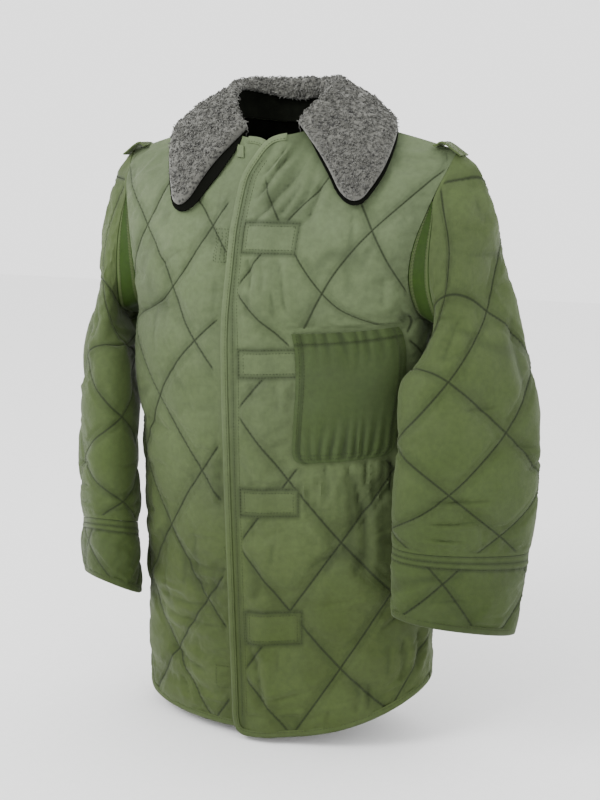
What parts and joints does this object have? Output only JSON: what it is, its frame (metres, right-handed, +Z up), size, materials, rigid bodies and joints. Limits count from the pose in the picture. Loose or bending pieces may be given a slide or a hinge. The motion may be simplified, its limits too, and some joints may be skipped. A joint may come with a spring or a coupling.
{
  "type": "padded jacket",
  "caption": "Thigh-length quilted jacket with a turned-down pile collar, lapped front, patch pocket, wide sleeves and underarm gussets, standing open and empty as if worn.",
  "frame": {"origin": "midway between the two neck points, where the shoulder seams meet the neckline", "axes": "+X to the wearer's left, -Y to the wearer's front, +Z up"},
  "size_m": [0.7635, 0.2795, 0.9761],
  "materials": {
    "shell": "quilted woven shell, dull",
    "front": "quilted woven shell, dull",
    "sleeve": "quilted woven shell, dull",
    "cuff": "quilted woven shell, dull",
    "gusset": "plain weave, dull",
    "fur": "dense curly pile, dull",
    "under_collar": "plain weave, dull",
    "pocket": "plain weave, dull",
    "tab": "plain weave, pale",
    "tape": "folded tape, dull"
  },
  "bodies": {
    "root": {"back_panel": "shell", "front_left": "front", "front_right": "front", "sleeve_left": "sleeve", "sleeve_right": "sleeve", "cuff_left": "cuff", "cuff_right": "cuff", "gusset_left": "gusset", "gusset_right": "gusset", "collar_fur": "fur", "under_collar": "under_collar", "chest_pocket": "pocket", "shoulder_loop_left": "shell", "shoulder_loop_right": "shell", "throat_tab": "tab", "tape_back_hem": "tape", "tape_front_left": "tape", "tape_front_right": "tape", "tape_cuff_left": "tape", "tape_cuff_right": "tape"}
  },
  "joints": []
}
